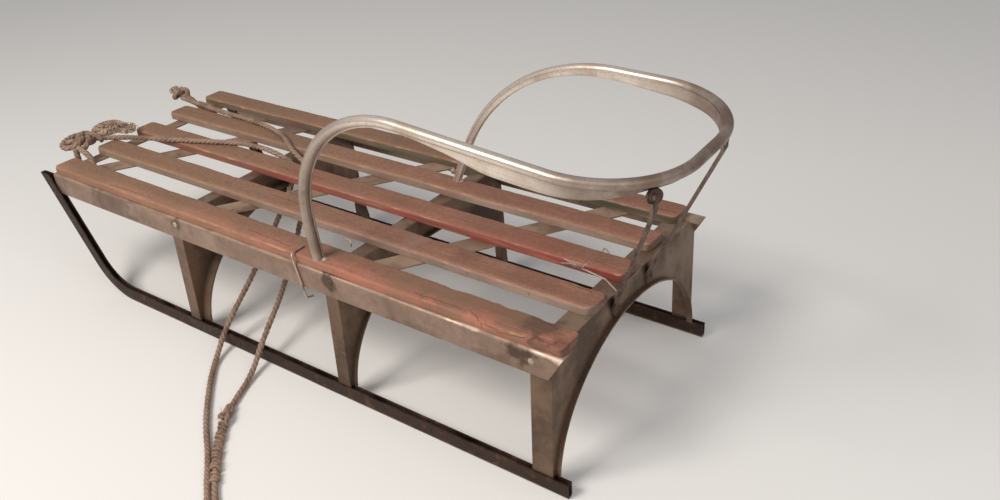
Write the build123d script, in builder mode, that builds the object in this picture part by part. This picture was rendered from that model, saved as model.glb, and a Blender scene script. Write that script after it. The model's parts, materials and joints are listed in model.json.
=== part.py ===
"""A child's sled: five painted slats on a steel frame of side rails, pressed arches,
flat braces and channel runners, with a bent aluminium hand rail and a tow rope.

Frame: millimetres, +X towards the front, +Y to the left, +Z up. The origin is on the
ground, midway between the runners, below the middle of the sled's length.
"""
from build123d import *
import math
import os

# Driving dimensions of the frame
frame_width = 310.0          # over the outer faces of the two side rails
seat_height = 175.0          # top of the slats above the ground
sheet = 2.0                  # thickness of the pressed sheet

# Slats
slat_width = 34.0
slat_thickness = 10.0
slat_inset = 3.0             # outer slats' edges inside the rails' faces
slat_edge_round = 1.6
slat_corner_round = 6.0
slat_ends = [                # from the left: rear end, front end
    (-372.0, 429.0),
    (-362.0, 433.0),
    (-358.0, 439.0),
    (-354.0, 447.0),
    (-352.0, 449.0),
]

# Side rails: angle section, the slats lie on the flange
rail_depth = 28.0
rail_flange = 20.0
rail_front = 429.0
rail_rear = -372.0
rail_rear_slant = 17.0       # how far the bottom corner is cut back at the rear
rail_bend = 3.0

# Arches: one pressed sheet makes both legs and the cross bar
arches = [                   # name, rear face of the web, outer flange, inner lip
    ("front", 171.0, 18.0, 14.0),
    ("middle", -89.0, 18.0, 5.0),
    ("rear", -359.0, 24.0, 5.0),
]
arch_half_span = 150.0       # half width of the opening at its axis
arch_axis_height = 10.0
arch_crown_height = 138.0
foot_lap = 11.0              # the leg's flange reaches down into the runner

# Flat braces under the slats
brace_width = 27.0
braces = [                   # name, x at the left rail, x at the right rail
    ("front", 397.0, 227.0),
    ("middle", 156.0, -36.0),
    ("rear", -104.0, -288.0),
]
crosspiece_width = 20.0
crosspiece_front = 429.0

# Runners: channel section, open upwards, the nose laps over the rail's front end
runner_width = 8.0
runner_height = 18.0
runner_rear = -377.0
runner_tip = 455.25          # front of the nose at its top
runner_bend_radius = 80.0
runner_rise = 60.0           # degrees from the ground
runner_corner = 2.6

# Hand rail: round bead with a flat fin at its inner side, bent in one length
bead_diameter = 10.5
fin_thickness = 2.0
fin_depth = 16.5             # the fin's full depth below the bead
hand_rail_left = 153.7       # middle of the left arm
left_foot_y = 146.0          # the left leg leans outwards
hand_rail_right = -78.0
hand_rail_height = 164.5     # left rear corner over the seat
right_rear_rise = 4.0        # the other corners stand higher than that one
left_front_rise = 30.5
right_front_rise = 12.5
hand_rail_rear = -450.0
left_foot_x = -61.0
left_top_x = -47.0
left_bend_radius = 135.0
right_foot_x = -74.0
right_top_x = -153.0
right_bend_radius = 212.0
rear_left_radius = 91.0
rear_right_radius = 100.0
fin_on_left_leg = 1.0        # the fin is only a lip on the legs
fin_on_right_leg = 0.0
fin_left = [                 # x along the left arm, depth of the fin below the bead
    (-218.0, 5.0), (-255.0, 8.5), (-297.0, 16.5), (-350.0, 16.0), (-400.0, 12.0),
    (-425.0, 7.0)]
fin_right = [                # the same along the right arm
    (-312.0, 3.0), (-345.0, 6.0), (-390.0, 8.5), (-415.0, 8.0)]
fin_rear_x = -440.0          # from here round the rear its lower edge is level
fin_rear_depth = 4.0         # below the bead at the left rear corner

# Struts from the rear arch up to the hand rail, each with an eye against the fin
strut_width = 12.0
strut_thickness = 3.0
strut_foot_rise = 3.0        # above the crown of the arch's opening
strut_kink_rise = 11.0       # above the foot
eye_diameter = 15.0
struts = [                   # name, foot y, kink y, degrees round the rear bend, upright end
    ("left", 33.0, 37.0, 32.0, 16.0),
    ("right", -37.0, -35.0, -20.0, 10.0),
]

# Wires and rope
gap = 0.3                    # clearance beside soft pieces
wire_diameter = 1.8
tie_route = [                # x, y, height over the seat, up to the left strut
    (-287.0, 18.4, -5.0), (-301.0, 24.0, 1.0), (-325.0, 31.0, 4.0), (-349.0, 36.0, 4.0)]
tie_end = 1.0                # its end is this far over the seat
clip_diameter = 2.4
clip_x = -31.0
clip_lean = 12.0             # the lower end stands this much further back
clip_reach = 20.0            # length of the upper end over the seat
clip_drop = 13.0             # below the rail's lower edge
clip_hook = 9.0              # the lower end is turned in under the rail
rope_diameter = 7.0
rope_radius = rope_diameter / 2
on_seat = seat_height + rope_radius
on_ground = rope_radius
over_runner = runner_height + 6.0
rope_route = [
    # from the left knot over the seat to the gap beside the middle slat
    (458.0, 74.0, on_seat), (424.0, 50.0, on_seat), (380.0, 32.0, on_seat),
    (308.0, 5.0, on_seat), (250.0, -19.0, on_seat), (210.0, -22.0, on_seat),
    (185.0, -20.0, on_seat),
    # down through the gap, out over the left runner and to the ground
    (150.0, -30.0, seat_height - 13), (141.0, 32.0, 109.0), (132.0, 93.0, 64.0),
    (124.0, 155.0, over_runner), (107.0, 190.0, on_ground),
    # over the ground, round the bight and back
    (87.0, 214.0, on_ground), (54.0, 247.0, on_ground), (19.0, 279.0, on_ground),
    (-22.0, 309.0, on_ground), (-51.0, 335.0, on_ground), (-77.0, 356.0, on_ground),
    (-103.0, 380.0, on_ground), (-107.0, 412.0, on_ground), (-131.0, 434.0, on_ground),
    (-162.0, 426.0, on_ground), (-169.0, 394.0, on_ground), (-145.0, 372.0, on_ground),
    (-111.0, 366.0, on_ground), (-81.0, 350.0, on_ground), (-55.0, 328.0, on_ground),
    (-28.0, 303.0, on_ground), (0.0, 272.0, on_ground), (22.0, 239.0, on_ground),
    # up over the runner, back through the gap and along the seat to the right knot
    (43.0, 190.0, on_ground), (58.0, 155.0, over_runner + 1), (85.0, 87.0, 53.0),
    (113.0, 24.0, 95.0), (140.0, -38.0, seat_height - 17), (171.0, -40.0, seat_height),
    (195.0, -54.0, on_seat), (224.0, -69.0, on_seat), (260.0, -78.0, on_seat),
    (305.0, -83.0, on_seat), (360.0, -84.0, on_seat), (422.0, -88.0, on_seat),
    (467.0, -94.0, on_seat)]
end_knots = [                # name, centre x, centre y, half length, half width, y of loop
    ("left", 455.0, 94.0, 20.0, 25.0, 101.0),
    ("right", 476.0, -98.0, 17.0, 15.0, -101.0),
]
knot_height = 20.0
knot_base = seat_height - 8.0
join_x = 11.0
join_y = 256.0
join_heading = 124.0
join_length = 36.0
join_width = 17.0
join_height = 12.0

# Levels and planes that follow from the sizes above
slat_pitch = (frame_width - slat_width - 2 * slat_inset) / 4
slat_bottom = seat_height - slat_thickness
flange_bottom = slat_bottom - sheet
rail_bottom = slat_bottom - rail_depth
rail_outer = frame_width / 2
rail_inner = rail_outer - sheet
flange_inner = rail_outer - rail_flange
leg_outer = rail_inner
crosspiece_rear = crosspiece_front - crosspiece_width
runner_inner = rail_inner - sheet
runner_outer = runner_inner + runner_width
foot_outer = runner_outer - sheet
foot_height = runner_height - foot_lap
strut_foot_height = arch_crown_height + strut_foot_rise
strut_kink_height = strut_foot_height + strut_kink_rise
bead_radius = bead_diameter / 2
hand_rail_z = seat_height + hand_rail_height
arch_rise = arch_crown_height - arch_axis_height

os.makedirs("parts", exist_ok=True)
finished = {}


def finish(name, part):
    """Label a piece and write it."""
    part.label = name
    finished[name] = part
    export_step(part, f"parts/{name}.step")


# Slats: boards with worn, rounded ends and softened top edges
for number, (rear, front) in enumerate(slat_ends, 1):
    with BuildPart() as slat:
        with BuildSketch(Plane.XY.offset(slat_bottom)):
            with Locations(((rear + front) / 2, (3 - number) * slat_pitch)):
                RectangleRounded(front - rear, slat_width, slat_corner_round)
        extrude(amount=slat_thickness)
        fillet(slat.faces().sort_by(Axis.Z)[-1].edges(), slat_edge_round)
    finish(f"slat_{number}", slat.part)

# Side rails: an angle with its bend outside, cut obliquely at the rear
with BuildPart() as rail_left:
    with BuildSketch(Plane.YZ.offset(rail_rear)) as rail_section:
        with BuildLine():
            Polyline(
                (rail_outer, rail_bottom), (rail_outer, slat_bottom),
                (flange_inner, slat_bottom), (flange_inner, flange_bottom),
                (rail_inner, flange_bottom), (rail_inner, rail_bottom), close=True)
        make_face()
        fillet(rail_section.vertices().group_by(Axis.Y)[-1].sort_by(Axis.X)[-1], rail_bend)
    extrude(amount=rail_front - rail_rear)
    with BuildSketch(Plane.XZ.offset(-rail_outer - sheet)):
        with BuildLine():
            Polyline(
                (rail_rear - sheet, slat_bottom), (rail_rear, slat_bottom),
                (rail_rear + rail_rear_slant, rail_bottom - sheet),
                (rail_rear - sheet, rail_bottom - sheet), close=True)
        make_face()
    extrude(amount=2 * sheet + rail_flange, mode=Mode.SUBTRACT)
finish("side_rail_left", rail_left.part)

with BuildPart() as rail_right:
    add(mirror(rail_left.part, about=Plane.XZ))
finish("side_rail_right", rail_right.part)

# Arches: web with an elliptical opening, flange round the outside, lip round the opening
for name, station, flange, lip in arches:
    foot_top = runner_height
    with BuildPart() as arch:
        # the web, from the runners' tops to the underside of the slats; the legs spread
        with BuildSketch(Plane.YZ.offset(station)):
            with BuildLine():
                Polyline(
                    (-foot_outer, foot_top), (foot_outer, foot_top), (leg_outer, rail_bottom),
                    (leg_outer, flange_bottom), (-leg_outer, flange_bottom),
                    (-leg_outer, rail_bottom), close=True)
            make_face()
            with Locations((0, (flange_bottom + slat_bottom) / 2)):
                Rectangle(2 * flange_inner, sheet)
            with Locations((0, arch_axis_height)):
                Ellipse(arch_half_span, arch_rise, mode=Mode.SUBTRACT)
        extrude(amount=sheet)
        # the flange along both legs, down between the walls of the runners
        with BuildSketch(Plane.YZ.offset(station)):
            for side in (-1, 1):
                with BuildLine():
                    Polyline(
                        (side * foot_outer, foot_height), (side * foot_outer, foot_top),
                        (side * leg_outer, rail_bottom), (side * leg_outer, flange_bottom),
                        (side * (leg_outer - sheet), flange_bottom),
                        (side * (leg_outer - sheet), rail_bottom),
                        (side * (foot_outer - sheet), foot_top),
                        (side * (foot_outer - sheet), foot_height), close=True)
                make_face()
        extrude(amount=flange)
        # the flange under the slats
        with BuildSketch(Plane.XY.offset(flange_bottom)):
            with Locations((station + flange / 2, 0)):
                Rectangle(flange, 2 * flange_inner)
        extrude(amount=sheet)
        # the lip round the opening, turned to the rear
        with BuildSketch(Plane.YZ.offset(station - lip)):
            with Locations((0, arch_axis_height)):
                Ellipse(arch_half_span + sheet, arch_rise + sheet)
                Ellipse(arch_half_span, arch_rise, mode=Mode.SUBTRACT)
            with Locations((0, foot_top / 2 - arch_rise)):
                Rectangle(4 * arch_half_span, foot_top + 2 * arch_rise, mode=Mode.SUBTRACT)
        extrude(amount=lip)
    finish(f"arch_{name}", arch.part)

# Flat braces, level with the rails' flanges and trimmed where the arches cross
for name, left_x, right_x in braces:
    slope = (left_x - right_x) / (2 * flange_inner)
    half_step = brace_width / 2 * math.hypot(1, slope)
    with BuildPart() as brace:
        with BuildSketch(Plane.XY.offset(flange_bottom)):
            with BuildLine():
                Polyline(
                    (left_x + half_step, flange_inner), (left_x - half_step, flange_inner),
                    (right_x - half_step, -flange_inner), (right_x + half_step, -flange_inner),
                    close=True)
            make_face()
            for _, station, flange, _ in arches:
                with Locations((station + flange / 2, 0)):
                    Rectangle(flange, frame_width, mode=Mode.SUBTRACT)
            with Locations((crosspiece_front, 0)):
                Rectangle(2 * crosspiece_width, frame_width, mode=Mode.SUBTRACT)
        extrude(amount=sheet)
    largest = brace.part.solids().sort_by(SortBy.VOLUME)[-1]
    finish(f"brace_{name}", largest)

# Front cross piece, which carries the front ends of the slats and the rope
with BuildPart() as crosspiece:
    with BuildSketch(Plane.XY.offset(flange_bottom)):
        with Locations((crosspiece_front - crosspiece_width / 2, 0)):
            Rectangle(crosspiece_width, 2 * flange_inner)
    extrude(amount=sheet)
finish("front_crosspiece", crosspiece.part)

# Runners: channel swept along the ground and up the front curve
with BuildPart() as runner_left:
    with BuildLine() as runner_path:
        rise = math.radians(runner_rise)
        corner_x = runner_tip - flange_bottom / math.tan(rise)
        over_top = runner_height * math.cos(rise)
        FilletPolyline(
            (runner_rear, 0, 0), (corner_x, 0, 0),
            (runner_tip + over_top / math.tan(rise), 0, flange_bottom + over_top),
            radius=runner_bend_radius)
    with BuildSketch(Plane.YZ.offset(runner_rear)) as channel:
        with Locations((runner_outer - runner_width / 2, runner_height / 2)):
            Rectangle(runner_width, runner_height)
        fillet(channel.vertices().group_by(Axis.Y)[0], runner_corner)
        with Locations((runner_outer - runner_width / 2, runner_height / 2 + sheet)):
            Rectangle(runner_width - 2 * sheet, runner_height, mode=Mode.SUBTRACT)
    sweep(path=runner_path.wires()[0])
    # the nose is cut level with the underside of the rail's flange
    with BuildSketch(Plane.XY.offset(flange_bottom)):
        with Locations((runner_tip, runner_outer)):
            Rectangle(6 * runner_height, 4 * runner_width)
    extrude(amount=4 * runner_height, mode=Mode.SUBTRACT)
finish("runner_left", runner_left.part)

with BuildPart() as runner_right:
    add(mirror(runner_left.part, about=Plane.XZ))
finish("runner_right", runner_right.part)

# Hand rail: bead and fin swept as one extrusion, then the fin is trimmed
left_front_z = hand_rail_z + left_front_rise
right_front_z = hand_rail_z + right_front_rise
right_rear_z = hand_rail_z + right_rear_rise
below_seat = seat_height - bead_diameter
with BuildPart() as hand_rail:
    with BuildLine() as rail_path:
        FilletPolyline(
            (left_foot_x, left_foot_y, below_seat),
            (left_top_x, hand_rail_left, left_front_z),
            (hand_rail_rear, hand_rail_left, hand_rail_z),
            (hand_rail_rear, hand_rail_right, right_rear_z),
            (right_top_x, hand_rail_right, right_front_z),
            (right_foot_x, hand_rail_right, below_seat),
            radius=[left_bend_radius, rear_left_radius, rear_right_radius, right_bend_radius])
    rail_line = rail_path.wires()[0]
    with BuildSketch(Plane(rail_line @ 0, x_dir=(-1, 0, 0), z_dir=rail_line % 0)):
        Circle(bead_radius)
        with Locations(((bead_radius + fin_depth) / 2, bead_radius - fin_thickness / 2)):
            Rectangle(bead_radius + fin_depth, fin_thickness)
    sweep(path=rail_line)
    # both feet stand on the slats
    with BuildSketch(Plane.XY.offset(seat_height)):
        for foot_x, foot_y in ((left_foot_x, left_foot_y), (right_foot_x, hand_rail_right)):
            with Locations((foot_x, foot_y)):
                Rectangle(8 * bead_diameter, 8 * bead_diameter)
    extrude(amount=-4 * bead_diameter, mode=Mode.SUBTRACT)
    # the fin's lower edge: close to the bead up the leg, then down along the arm
    middle_y = (hand_rail_left + hand_rail_right) / 2
    reach_y = (hand_rail_left - hand_rail_right) / 2 + 4 * bead_diameter
    for side, foot_x, top_x, front_z, rear_z, bend_radius, lip, table in (
            (1, left_foot_x, left_top_x, left_front_z, hand_rail_z,
             left_bend_radius, fin_on_left_leg, fin_left),
            (-1, right_foot_x, right_top_x, right_front_z, right_rear_z,
             right_bend_radius, fin_on_right_leg, fin_right)):
        slope = (front_z - rear_z) / (top_x - hand_rail_rear)
        edge = [
            (x, rear_z + slope * (x - hand_rail_rear) - bead_radius - depth)
            for x, depth in table]
        end_z = hand_rail_z - bead_radius - fin_rear_depth
        inset = bead_radius + lip
        beyond_x = hand_rail_rear - 2 * bead_diameter
        with BuildSketch(Plane.XZ.offset(-middle_y)):
            with BuildLine():
                inner = FilletPolyline(
                    (foot_x - inset, below_seat), (top_x - inset, front_z - inset), edge[0],
                    radius=bend_radius - inset)
                Polyline(
                    *edge, (fin_rear_x, end_z), (beyond_x, end_z), (beyond_x, below_seat),
                    (foot_x - inset, below_seat))
            make_face()
        extrude(amount=-side * reach_y, mode=Mode.SUBTRACT)
finish("hand_rail", hand_rail.part)

# Struts: flat bars, upright against the rear arch's web, leaning back to an upright end
strut_x = arches[2][1] - strut_thickness / 2
bend_y = {
    "left": hand_rail_left - rear_left_radius,
    "right": hand_rail_right + rear_right_radius}
bend_radius = {"left": rear_left_radius, "right": rear_right_radius}
rear_z = {"left": hand_rail_z, "right": right_rear_z}
upright_foot = {}
for name, foot_y, kink_y, place, upright in struts:
    eye_z = rear_z[name] - bead_radius - gap - eye_diameter / 2
    outward = Vector(-math.cos(math.radians(place)), math.sin(math.radians(place)), 0)
    eye_radius = bend_radius[name] - bead_radius + fin_thickness + gap + strut_thickness / 2
    bend_centre = Vector(hand_rail_rear + bend_radius[name], bend_y[name], eye_z)
    eye = bend_centre + outward * eye_radius
    upright_foot[name] = eye - Vector(0, 0, upright)
    with BuildPart() as strut:
        with BuildLine() as strut_path:
            FilletPolyline(
                (strut_x, foot_y, strut_foot_height), (strut_x, kink_y, strut_kink_height),
                upright_foot[name], eye - Vector(0, 0, eye_diameter / 2 - 3), radius=strut_width / 3)
        strut_line = strut_path.wires()[0]
        with BuildSketch(Plane(strut_line @ 0, x_dir=(1, 0, 0), z_dir=strut_line % 0)):
            Rectangle(strut_thickness, strut_width)
        sweep(path=strut_line)
        with BuildSketch(Plane(eye, z_dir=outward)):
            Circle(eye_diameter / 2)
        extrude(amount=strut_thickness / 2, both=True)
    finish(f"strut_{name}", strut.part)

# Wire hooked over the left edge of the seat and under the rail
clip_radius = clip_diameter / 2
clip_face = rail_outer + clip_radius + gap
clip_top = seat_height + clip_radius + gap
with BuildPart() as wire_clip:
    with BuildLine() as clip_path:
        FilletPolyline(
            (clip_x + clip_radius, clip_face - clip_reach, clip_top),
            (clip_x, clip_face, clip_top),
            (clip_x - clip_lean, clip_face, rail_bottom - clip_drop),
            (clip_x - clip_lean, clip_face - clip_hook, rail_bottom - clip_drop - clip_diameter),
            radius=1.5 * clip_diameter)
    clip_wire = clip_path.wires()[0]
    with BuildSketch(Plane(clip_wire @ 0, z_dir=clip_wire % 0)):
        Circle(clip_radius)
    sweep(path=clip_wire)
finish("wire_clip", wire_clip.part)

# Tie wire from the middle slat to the left strut
with BuildPart() as tie_wire:
    with BuildLine() as tie_path:
        tie_corners = [(x, y, seat_height + z) for x, y, z in tie_route]
        kink = Vector(strut_x, struts[0][2], strut_kink_height)
        lean = upright_foot["left"] - kink
        at_strut = kink + lean * ((seat_height + tie_end - kink.Z) / lean.Z)
        tie_corners.append(at_strut + Vector(strut_thickness / 2 + 2 * wire_diameter, -3, 0))
        FilletPolyline(*tie_corners, radius=3 * wire_diameter)
    tie = tie_path.wires()[0]
    with BuildSketch(Plane(tie @ 0, z_dir=tie % 0)):
        Circle(wire_diameter / 2)
    sweep(path=tie)
finish("tie_wire", tie_wire.part)

# Tow rope: one length, tied at both ends of the front cross piece
corners = [Vector(*point) for point in rope_route]
runs = [after - before for before, after in zip(corners, corners[1:])]
turns = [math.radians(one.get_angle(two)) for one, two in zip(runs, runs[1:])]
radii = [
    0.45 * min(one.length, two.length) / math.tan(turn / 2)
    for one, two, turn in zip(runs, runs[1:], turns)]
with BuildPart() as tow_rope:
    with BuildLine() as rope_path:
        FilletPolyline(*rope_route, radius=radii)
    rope_line = rope_path.wires()[0]
    with BuildSketch(Plane(rope_line @ 0, z_dir=rope_line % 0)):
        Circle(rope_radius)
    sweep(path=rope_line)
finish("tow_rope", tow_rope.part)
rope_length = rope_line.length
print("rope length", round(rope_length), "longest run", round(max(run.length for run in runs)))
print("rope radii", [round(radius) for radius in radii])
print("rope turns", [round(math.degrees(turn)) for turn in turns])
print("rope volume over section times length", round(
    tow_rope.part.volume / (math.pi * rope_radius**2 * rope_length), 3))

# Knots: soft lumps, the two at the ends with their loop round the cross piece
for name, knot_x, knot_y, half_length, half_width, loop_y in end_knots:
    loop_front = knot_x - half_length / 2
    with BuildPart() as knot:
        with BuildSketch(Plane.XY.offset(knot_base)):
            with Locations((knot_x, knot_y)):
                Ellipse(half_length, half_width)
        extrude(amount=knot_height)
        fillet(knot.edges().filter_by(GeomType.ELLIPSE), knot_height / 4)
        # the loop
        with BuildSketch(Plane.XZ.offset(-loop_y - rope_radius)):
            with Locations((
                    (loop_front + crosspiece_rear - rope_diameter) / 2, flange_bottom + sheet / 2)):
                Rectangle(
                    loop_front - crosspiece_rear + rope_diameter, sheet + 2 * rope_diameter)
        extrude(amount=rope_diameter)
        with BuildSketch(Plane.XZ.offset(-loop_y - rope_diameter)):
            with Locations((
                    crosspiece_front - crosspiece_width / 2, flange_bottom + sheet / 2)):
                Rectangle(crosspiece_width + 2 * gap, sheet + 2 * gap)
        extrude(amount=2 * rope_diameter, mode=Mode.SUBTRACT)
        add(tow_rope.part, mode=Mode.SUBTRACT)
    finish(f"rope_knot_{name}", knot.part.solids().sort_by(SortBy.VOLUME)[-1])

with BuildPart() as join_knot:
    with BuildSketch(Plane.XY.offset(gap)):
        with Locations(Location((join_x, join_y), join_heading)):
            Ellipse(join_length / 2, join_width / 2)
    extrude(amount=join_height)
    fillet(join_knot.edges().filter_by(GeomType.ELLIPSE), join_height / 4)
    add(tow_rope.part, mode=Mode.SUBTRACT)
finish("rope_knot_join", join_knot.part.solids().sort_by(SortBy.VOLUME)[-1])

print("pieces:", len(finished))
for name, part in finished.items():
    print(name, len(part.solids()), round(part.volume), part.is_valid)
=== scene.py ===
# %% [markdown]
# # A child's slatted sled
# Five painted boards lie on a frame of thin pressed sheet, with channel runners below, a
# bent aluminium hand rail on top and an old rope in front. The solids of the frame come
# from the CAD model. This file dresses them: it gives every solid its finish, and builds
# anew what has a surface that a CAD solid can't hold, such as worn boards and laid rope.

# %% Load the frame
import json
import math
import bpy
import numpy as np
from mathutils import Matrix, Vector

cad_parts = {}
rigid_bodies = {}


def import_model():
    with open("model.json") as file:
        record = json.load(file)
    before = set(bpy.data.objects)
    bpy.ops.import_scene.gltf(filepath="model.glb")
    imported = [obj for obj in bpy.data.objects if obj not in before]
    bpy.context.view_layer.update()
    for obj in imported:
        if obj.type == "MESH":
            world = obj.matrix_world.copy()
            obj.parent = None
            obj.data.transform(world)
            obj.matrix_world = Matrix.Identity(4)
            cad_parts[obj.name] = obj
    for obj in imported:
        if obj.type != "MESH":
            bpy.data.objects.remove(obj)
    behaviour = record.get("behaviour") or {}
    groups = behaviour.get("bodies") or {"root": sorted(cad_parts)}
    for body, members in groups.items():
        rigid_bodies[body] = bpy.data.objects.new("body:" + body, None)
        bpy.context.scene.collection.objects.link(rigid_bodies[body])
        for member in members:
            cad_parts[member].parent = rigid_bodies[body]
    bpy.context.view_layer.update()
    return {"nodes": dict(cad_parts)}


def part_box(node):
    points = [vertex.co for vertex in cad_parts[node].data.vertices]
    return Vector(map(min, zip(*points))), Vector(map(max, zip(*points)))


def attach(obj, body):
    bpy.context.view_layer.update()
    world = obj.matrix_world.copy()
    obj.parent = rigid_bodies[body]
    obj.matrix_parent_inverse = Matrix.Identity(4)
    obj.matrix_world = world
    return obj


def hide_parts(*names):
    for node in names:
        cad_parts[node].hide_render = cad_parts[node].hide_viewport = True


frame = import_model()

mm = 0.001
rng = np.random.default_rng(7)
print("nodes:", len(frame["nodes"]))

# %% [markdown]
# ## Camera
# The camera stands behind the sled, to its left and above, and looks along the slats. Its
# place and its three axes were solved from the straight lines of the frame, so they are
# written as numbers: the columns of the matrix are right, up and backwards.

# %% Camera
camera_place = (-0.7240, 0.7066, 0.6703)
camera_right = (-0.818, -0.572, -0.056)
camera_up = (0.252, -0.445, 0.859)
camera_back = (-0.516, 0.689, 0.509)
lens_mm = 33.04

camera_data = bpy.data.cameras.new("camera")
camera_data.lens = lens_mm
camera_data.sensor_width = 36.0
camera_data.sensor_fit = "HORIZONTAL"
camera = bpy.data.objects.new("camera", camera_data)
axes = Matrix((camera_right, camera_up, camera_back)).transposed()
square_axes = axes.to_quaternion().to_matrix().to_4x4()
camera.matrix_world = Matrix.Translation(camera_place) @ square_axes
bpy.context.scene.collection.objects.link(camera)
bpy.context.scene.camera = camera
print("camera at", [round(value, 3) for value in camera_place])

# %% [markdown]
# ## Surfaces from arrays
# Every new piece is a grid of points: rings that follow each other along a path. One
# helper turns such grids into a mesh, and closes both ends of each with a flat face.

# %% Grid to piece
def grid_faces(rings, around):
    """Quads between ring i and i + 1, and between point j and j + 1, closed around."""
    i, j = np.meshgrid(np.arange(rings - 1), np.arange(around), indexing="ij")
    k = (j + 1) % around
    corners = [i * around + j, i * around + k, (i + 1) * around + k, (i + 1) * around + j]
    return np.stack(corners, axis=-1).reshape(-1, 4)


def tube_mesh(name, grids):
    """One mesh from several grids of points, each (rings, around, 3), with closed ends."""
    faces, start = [], 0
    for grid in grids:
        rings, around = grid.shape[:2]
        last = start + (rings - 1) * around
        faces += (grid_faces(rings, around) + start).tolist()
        faces += [list(range(start + around - 1, start - 1, -1)), list(range(last, last + around))]
        start += rings * around
    mesh = bpy.data.meshes.new(name)
    mesh.from_pydata(np.concatenate([grid.reshape(-1, 3) for grid in grids]), [], faces)
    return mesh


def add_piece(name, grids, material, slot, node=None, **per_point):
    """One smooth object from grids, riding on the frame, with numbers per point for materials."""
    mesh = tube_mesh(name, grids)
    for label, values in per_point.items():
        numbers = np.ascontiguousarray(values, dtype=np.float32).ravel()
        mesh.attributes.new(label, "FLOAT", "POINT").data.foreach_set("value", numbers)
    mesh.materials.append(material)
    mesh.polygons.foreach_set("use_smooth", np.ones(len(mesh.polygons), dtype=bool))
    mesh.update()
    piece = bpy.data.objects.new(name, mesh)
    bpy.context.scene.collection.objects.link(piece)
    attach(piece, "root")
    if node:
        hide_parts(node)
    print(name, len(mesh.vertices), "points")
    return piece


# %% [markdown]
# A path needs two directions across it at every point. The first is a fixed direction, the
# hint, with its part along the path taken away. The second is at right angles to both.

# %% Paths and tubes
def unit(vectors):
    """The same directions with a length of one."""
    return vectors / np.linalg.norm(vectors, axis=-1, keepdims=True)


def lengths_along(path):
    """Length from the start of a path to each of its points."""
    return np.concatenate([[0], np.cumsum(np.linalg.norm(np.diff(path, axis=0), axis=1))])


def across(path, hint):
    """Two directions at right angles to a path: top = hint minus its part along the path."""
    tangent = unit(np.gradient(path, axis=0))
    top = unit(hint - tangent * (tangent @ hint)[:, None])
    return np.cross(tangent, top), top


def circle(points):
    """Angles at even steps once round."""
    return np.linspace(0, 2 * np.pi, points, endpoint=False)


def tube(path, radius, angles, hint):
    """Point = path + radius (cos a side + sin a top); radius and angles may differ per ring."""
    side, top = across(path, np.asarray(hint, dtype=float))
    right, up = radius * np.cos(angles), radius * np.sin(angles)
    return path[:, None] + right[..., None] * side[:, None] + up[..., None] * top[:, None]


# %% Lines
def even_steps(points, step):
    """The same line with equal steps: positions read off at even lengths along it."""
    length = lengths_along(points)
    at = np.linspace(0, length[-1], max(2, int(round(length[-1] / step)) + 1))
    return np.stack([np.interp(at, length, points[:, axis]) for axis in range(3)], axis=-1)


def spline_line(name, points, cyclic=False):
    """A smooth line through the air: the points of a NURBS spline with these corners."""
    data = bpy.data.curves.new(name, "CURVE")
    data.dimensions = "3D"
    spline = data.splines.new("NURBS")
    spline.points.add(len(points) - 1)
    spline.points.foreach_set("co", np.c_[np.asarray(points), np.ones(len(points))].ravel())
    spline.use_cyclic_u = cyclic
    spline.order_u = 3
    spline.use_endpoint_u = not cyclic
    spline.resolution_u = 16
    holder = bpy.data.objects.new(name, data)
    bpy.context.scene.collection.objects.link(holder)
    flat = bpy.data.meshes.new_from_object(holder)
    line = np.empty(len(flat.vertices) * 3)
    flat.vertices.foreach_get("co", line)
    bpy.data.objects.remove(holder)
    bpy.data.meshes.remove(flat)
    return line.reshape(-1, 3)


def ripple(at, seed, waves):
    """Sum of sine waves, each with its own length and height, with random starts."""
    starts = np.random.default_rng(seed).uniform(0, 2 * np.pi, len(waves))
    return sum(high * np.sin(2 * np.pi * at / long + start)
               for (long, high), start in zip(waves, starts))


# %% [markdown]
# ## Shared effects
# Wood, sheet, steel and rope all need blotches, streaks, dust and worn edges. Each effect
# is one node group with a few inputs, so a change in one place reaches every material.
# Every mask is a number from nought, where the effect is absent, to one.

# %% Node helpers
def connect(value, socket):
    """Link one socket to another, or give it a plain value."""
    if isinstance(value, bpy.types.NodeSocket):
        socket.id_data.links.new(value, socket)
    else:
        socket.default_value = value


def add_node(kind, settings=None, tree=None, **sockets):
    """One node with its settings, in the tree of what is linked to it.

    A socket is called by its name or by its number: i0 is the first.
    """
    linked = [value for value in sockets.values() if isinstance(value, bpy.types.NodeSocket)]
    made = (tree or linked[0].id_data).nodes.new("ShaderNode" + kind)
    for key, value in (settings or {}).items():
        setattr(made, key, value)
    for key, value in sockets.items():
        label = int(key[1:]) if key[1:].isdigit() else key.replace("_", " ")
        connect(value, made.inputs[label])
    return made


def maths(operation, one, two=0.0):
    """One arithmetic step."""
    return add_node("Math", {"operation": operation}, i0=one, i1=two).outputs[0]


def times(one, two):
    """The product of two masks."""
    return maths("MULTIPLY", one, two)


def vector_maths(operation, one, two=(0, 0, 0), output=0):
    """One step with vectors."""
    return add_node("VectorMath", {"operation": operation}, i0=one, i1=two).outputs[output]


def ramp(value, start, stop, low=0.0, high=1.0, shape="LINEAR"):
    """From low to high while the value goes from start to stop."""
    return add_node("MapRange", {"interpolation_type": shape}, Value=value, From_Min=start,
                    From_Max=stop, To_Min=low, To_Max=high).outputs[0]


def fade(value, full, none):
    """One where the value is at the first number, nought where it is at the second."""
    return ramp(value, full, none, 1.0, 0.0, "SMOOTHSTEP")


def object_place(tree):
    """The place of the shaded point, in metres."""
    return add_node("TexCoord", tree=tree).outputs["Object"]


def axis_of(vector, axis):
    """One of the three numbers of a vector."""
    return add_node("SeparateXYZ", Vector=vector).outputs[axis]


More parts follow.
